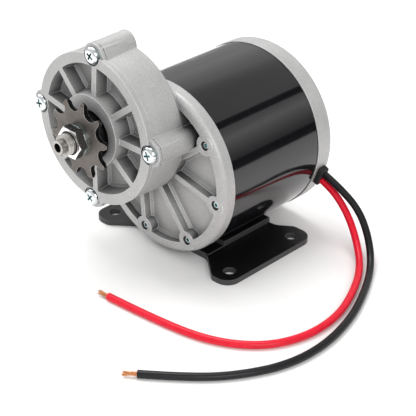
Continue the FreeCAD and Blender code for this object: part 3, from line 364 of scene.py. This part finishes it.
def powder_black():
    """Satin black powder coat: fine texture, painted light on the upright walls, painted highlights
    on the edges.
    """
    surface = Surface("powder_black", Specular_IOR_Level=0.3)
    # Painted light: upright walls get a paler tone than the flat faces, which keep the black.
    level = surface.range(surface.facing("Z"), low=0, high=1, start=0.1, end=0.6)
    coat = surface.blend(level, (0.05, 0.05, 0.051), (0.005, 0.005, 0.0055))
    # Painted highlights along the edges.
    worn = surface.edges(radius=0.4 * MM, most=0.8)
    surface.link(surface.blend(worn, coat, (0.16, 0.16, 0.162)), "Base Color")
    surface.link(surface.range(surface.noise(scale=120), low=0.3, high=0.42), "Roughness")
    surface.relief(surface.noise(scale=1700, detail=3), depth=0.06 * MM, strength=0.3,
                   radius=0.6 * MM)
    return surface.material


def plated_steel(name, dark, light, rough=(0.18, 0.32), worn=0.3, soft=0.2 * MM,
                 recess=grey(0.02)):
    """Plated or machined steel: cloudy, with fine turned lines, painted highlights on the edges and
    painted shade in the recesses.
    """
    surface = Surface(name, Metallic=1.0)
    lines = surface.noise(scale=900, detail=3, rough=0.6, at=surface.stretched((1, 6, 1)))
    # Painted shade in the hollows, in the given hollow colour.
    tone = surface.blend(surface.openness(reach=5 * MM), recess,
                         surface.mottle(surface.noise(scale=160), dark, light))
    # Painted highlights along the edges.
    bright = tuple(min(1, PAINTED_HIGHLIGHT_GAIN * value) for value in light)
    edges = surface.edges(radius=STEEL_EDGE, most=worn)
    surface.link(surface.blend(edges, tone, bright), "Base Color")
    surface.link(surface.range(lines, *rough), "Roughness")
    surface.relief(lines, depth=0.02 * MM, strength=0.25, radius=soft)
    return surface.material


def nut_with_painted_light():
    """A nut with painted reflections: a near-white front face and dark grey sides."""
    surface = Surface("nut_with_painted_light", Metallic=1.0)
    cloud = surface.noise(scale=160)
    # Painted reflections: dark grey sides and a near-white front face.
    sides = surface.mottle(cloud, (0.09, 0.089, 0.088), (0.15, 0.148, 0.146))
    front = surface.range(surface.facing("Y"), low=0, high=1, start=0.6, end=0.9)
    surface.link(surface.blend(front, sides, grey(0.95)), "Base Color")
    surface.link(surface.range(surface.noise(scale=900, detail=3), low=0.2, high=0.34), "Roughness")
    surface.relief(cloud, depth=0.02 * MM, strength=0.2, radius=0.2 * MM)
    return surface.material


def sprocket_steel():
    """Stamped steel: brown-grey oiled faces with rolling marks, dark cut walls, painted highlights
    on the edges.
    """
    surface = Surface("sprocket_steel", Metallic=0.9)
    lines = surface.noise(scale=420, rough=0.6, at=surface.stretched((0.15, 1, 1)))
    face = surface.ramp(surface.noise(scale=90, detail=6, rough=0.6), (0.25, (0.1, 0.088, 0.08)),
                        (0.6, (0.155, 0.138, 0.127)), (0.85, (0.21, 0.19, 0.178)))
    flat = surface.range(surface.facing("Y"), low=0, high=1, start=0.2, end=0.7)
    tone = surface.blend(flat, grey(0.012), face)
    # Painted highlights along the edges.
    edges = surface.edges(radius=STEEL_EDGE, most=0.85)
    surface.link(surface.blend(edges, tone, (0.8, 0.78, 0.75)), "Base Color")
    surface.link(surface.range(lines, low=0.34, high=0.52), "Roughness")
    surface.relief(lines, depth=0.03 * MM, strength=0.3, radius=0.2 * MM)
    return surface.material


def mottled(name, dark, light, rough, noises, depth, strength, radius=0.0, **settings):
    """A finish whose tone, roughness and relief each follow a noise, given as (scale, detail)."""
    surface = Surface(name, **settings)
    tone, gloss, grain = (surface.noise(*noise) for noise in noises)
    surface.link(surface.mottle(tone, dark, light), "Base Color")
    surface.link(surface.range(gloss, *rough), "Roughness")
    surface.relief(grain, depth, strength, radius)
    return surface.material


def gloss_black():
    """Smooth black enamel under a clear coat, with a faint orange peel."""
    return mottled("gloss_black", (0.0035, 0.0035, 0.0045), (0.005, 0.005, 0.0065), (0.08, 0.13),
                   noises=((30,), (90,), (260, 2)), depth=0.02 * MM, strength=0.08,
                   radius=0.3 * MM, Coat_Weight=0.35, Coat_Roughness=0.04)


def copper(name, dark, light, rough=(0.25, 0.45)):
    """Copper with fine drawn or turned grain."""
    return mottled(name, dark, light, rough, noises=((700, 4), (1500, 3), (2500, 3)),
                   depth=0.03 * MM, strength=0.3, Metallic=1.0)


def insulation(name, dark, light, rough):
    """Soft PVC sleeve: slight cloudiness, fine extrusion grain and a soft sheen."""
    return mottled(name, dark, light, rough, noises=((220, 3), (400, 3), (1400, 3)),
                   depth=0.03 * MM, strength=0.25, Specular_IOR_Level=0.3, Coat_Weight=0.08,
                   Coat_Roughness=0.2)


def rubber(name, dark, light):
    """Moulded rubber: dull and finely pitted."""
    return mottled(name, dark, light, (0.5, 0.68), noises=((300, 4), (500, 3), (1600, 3)),
                   depth=0.08 * MM, strength=0.35, radius=0.4 * MM)


def moulded(name, dark, light, rough=(0.5, 0.7), metal=0.0):
    """Inner pieces of one stuff: ferrite, phenolic, carbon, paper or laminated iron."""
    return mottled(name, dark, light, rough, noises=((350, 5), (700, 3), (1500, 3)),
                   depth=0.06 * MM, strength=0.35, radius=0.2 * MM, Metallic=metal)


def finishes():
    """The material of each of the record's slots."""
    return {
        "cast_aluminium": cast_aluminium(),
        "black_gloss_paint": gloss_black(),
        "black_powder_coat": powder_black(),
        # The zinc's hollows get painted shade tinted teal.
        "zinc_plated_steel": plated_steel("zinc_plate", (0.66, 0.69, 0.70), (0.82, 0.85, 0.86),
                                          (0.14, 0.26), recess=(0.22, 0.45, 0.45)),
        "sprocket_steel": sprocket_steel(),
        "machined_steel": plated_steel("machined_steel", (0.36, 0.345, 0.325), (0.54, 0.52, 0.495),
                                       (0.2, 0.4), worn=0.9, soft=0.06 * MM),
        "bright_nut": nut_with_painted_light(),
        "bearing_steel": plated_steel("bearing_steel", (0.5, 0.5, 0.51), (0.66, 0.66, 0.68),
                                      (0.1, 0.2)),
        "spring_steel": plated_steel("spring_steel", (0.3, 0.3, 0.31), (0.45, 0.45, 0.46)),
        "brass_sheet": plated_steel("brass_sheet", (0.55, 0.38, 0.14), (0.72, 0.52, 0.22)),
        "bare_copper": copper("bare_copper", (0.42, 0.15, 0.06), (0.78, 0.4, 0.2)),
        "enamelled_copper": copper("enamelled_copper", (0.35, 0.1, 0.03), (0.55, 0.2, 0.07),
                                   (0.2, 0.3)),
        "commutator_copper": copper("commutator_copper", (0.5, 0.23, 0.12), (0.72, 0.4, 0.24)),
        "red_insulation": insulation("red_pvc", (0.68, 0.004, 0.022), (0.78, 0.008, 0.032),
                                     (0.3, 0.42)),
        "black_insulation": insulation("black_pvc", (0.004, 0.004, 0.005), (0.007, 0.007, 0.009),
                                       (0.32, 0.44)),
        "black_rubber": rubber("black_rubber", grey(0.006), grey(0.012)),
        "ferrite": moulded("ferrite", (0.03, 0.03, 0.033), (0.06, 0.06, 0.065)),
        "laminated_steel": moulded("laminated_steel", (0.25, 0.25, 0.26), (0.4, 0.4, 0.41),
                                   (0.35, 0.5), metal=1.0),
        "phenolic": moulded("phenolic", (0.1, 0.045, 0.02), (0.17, 0.08, 0.035), (0.35, 0.5)),
        "carbon": moulded("carbon", (0.02, 0.02, 0.022), (0.045, 0.045, 0.048)),
        "gasket_paper": moulded("gasket_paper", (0.07, 0.065, 0.06), (0.11, 0.1, 0.095),
                                (0.7, 0.85)),
    }


def dress(piece, material):
    """One material in every slot of a piece."""
    slots = piece.data.materials
    if len(slots) == 0:
        slots.append(material)
    for index in range(len(slots)):
        slots[index] = material


# ---------------------------------------------------------------- floor and light

FLOOR_REACH = 6.0

# Cards that only reflections show: their grey tone and their corners. Two black ones run back on
# the right, high and low, and a grey one stands low at the back left.
FLAG_MOTTLE = 0.2  # how far a card's tone varies either way
FLAGS = {
    "flag_high": (0.006, [(0.47, -0.6, 0.77), (0.56, -0.6, 0.67), (0.56, 2.2, 0.67),
                          (0.47, 2.2, 0.77)]),
    "flag_low": (0.006, [(0.5, -0.4, 0.0), (0.5, 2.4, 0.0), (0.5, 2.4, 0.105), (0.5, -0.4, 0.105)]),
    "flag_left": (0.36, [(-0.8, -0.03, 0.0), (-0.14, 0.78, 0.0), (-0.14, 0.78, 0.14),
                         (-0.8, -0.03, 0.14)]),
}

# Where a lamp stands, what it points at, its width and height, and its power in watts.
LAMPS = {
    "overhead": ((-0.5, 0.1, 1.5), (0, 0, 0.05), (0.9, 0.9), 14),
    "left": ((-1.3, 0.0, 0.9), (-0.05, -0.05, 0), (0.9, 0.7), 8),
    "right": ((1.2, -0.7, 0.8), (0, 0, 0.05), (0.8, 0.8), 9),
}

# How bright the sky is at each height, given as the sine of the elevation.
SKY_STRENGTH = 0.8
SKY_AROUND = ((0.0, 0.75), (0.1, 0.62), (0.3, 0.85), (0.42, 1.1), (0.66, 1.1), (0.73, 0.68),
              (0.88, 0.7), (1.0, 1.0))
SKY_BACK_RIGHT = ((-0.05, 0.35), (0.02, 0.22), (0.15, 0.5), (0.3, 1.0), (0.41, 1.5), (0.5, 1.0),
                  (0.67, 0.72), (0.8, 0.65), (1.0, 1.0))
BACK_RIGHT = (math.sqrt(0.5), math.sqrt(0.5), 0)
BACK_RIGHT_FADE = (0.75, 0.95)  # cosines of the angles from it at which its sky starts and is full


def plain_sheet(name, corners):
    """A flat four-cornered sheet that isn't part of the object."""
    data = bpy.data.meshes.new(name)
    data.from_pydata(corners, [], [(0, 1, 2, 3)])
    sheet = bpy.data.objects.new(name, data)
    scene.collection.objects.link(sheet)
    return sheet


def make_floor():
    """A wide, nearly white floor at the foot plate's underside."""
    floor = plain_sheet("floor", [(-FLOOR_REACH, -FLOOR_REACH, 0), (FLOOR_REACH, -FLOOR_REACH, 0),
                                  (FLOOR_REACH, FLOOR_REACH, 0), (-FLOOR_REACH, FLOOR_REACH, 0)])
    surface = Surface("floor_white", Specular_IOR_Level=0.2, Roughness=0.7)
    surface.link(surface.mottle(surface.noise(scale=3), (0.90, 0.898, 0.892), (0.92, 0.918, 0.912)),
                 "Base Color")
    dress(floor, surface.material)


def make_flags():
    """The cards, which shape the reflections in the can's gloss."""
    for name, (tone, corners) in FLAGS.items():
        card = Surface(f"{name}_card", Roughness=0.9)
        dark, light = grey((1 - FLAG_MOTTLE) * tone), grey((1 + FLAG_MOTTLE) * tone)
        card.link(card.mottle(card.noise(scale=8), dark, light), "Base Color")
        flag = plain_sheet(name, corners)
        dress(flag, card.material)
        flag.visible_camera = False
        flag.visible_shadow = False
        flag.visible_diffuse = False


def make_lamps():
    """Large soft area lamps, out of the camera's sight."""
    for name, (place, target, size, power) in LAMPS.items():
        data = bpy.data.lights.new(name, "AREA")
        data.shape = "RECTANGLE"
        data.size, data.size_y = size
        data.energy = power
        lamp = bpy.data.objects.new(name, data)
        scene.collection.objects.link(lamp)
        lamp.location = place
        aim = Vector(target) - Vector(place)
        lamp.rotation_euler = aim.to_track_quat("-Z", "Y").to_euler()
        lamp.visible_camera = False


def make_sky():
    """A pale room, brightest halfway up. Its back right is dark low down, under a bright band."""
    world = bpy.data.worlds.new("studio")
    world.use_nodes = True
    sky = Tree(world.node_tree)
    background = sky.tree.nodes["Background"]
    direction = sky.add("ShaderNodeTexCoord").outputs["Generated"]
    height = sky.add("ShaderNodeSeparateXYZ", {"Vector": direction}).outputs["Z"]
    along_ramp = sky.range(height, low=0, high=1, start=-1, end=1)
    around, back_right = (
        sky.ramp(along_ramp, *(((sine + 1) / 2, grey(brightness)) for sine, brightness in stops))
        for stops in (SKY_AROUND, SKY_BACK_RIGHT))
    level = sky.add("ShaderNodeVectorMath", {0: direction, 1: (1, 1, 0)}, operation="MULTIPLY")
    unit = sky.add("ShaderNodeVectorMath", {0: level.outputs["Vector"]}, operation="NORMALIZE")
    toward = sky.add("ShaderNodeVectorMath", {0: unit.outputs["Vector"], 1: BACK_RIGHT},
                     operation="DOT_PRODUCT").outputs["Value"]
    share = sky.range(toward, 0, 1, *BACK_RIGHT_FADE)
    sky.tree.links.new(sky.blend(share, around, back_right), background.inputs["Color"])
    background.inputs["Strength"].default_value = SKY_STRENGTH
    scene.world = world


# ---------------------------------------------------------------- everything together

make_camera()
leads = {"red": make_lead("red", RED_ROUTE, RED_SEED),
         "black": make_lead("black", BLACK_ROUTE, BLACK_SEED)}

finish = finishes()
for part in frame["record"]["subparts"]:
    dress(nodes[part["node"]], finish[part["material_slot"]])
for colour, (lead, strands) in leads.items():
    dress(lead, finish[f"{colour}_insulation"])
    dress(strands, finish["bare_copper"])

# The spacer behind the sprocket is painted near black, as painted shade behind the sprocket, unlike
# the other machined steel.
dress(nodes["shaft_spacer"], plated_steel("spacer_painted_shade", grey(0.02), (0.045, 0.044, 0.043),
                                          (0.3, 0.45)))

make_sky()
make_lamps()
make_floor()
make_flags()
scene.view_settings.view_transform = "Standard"
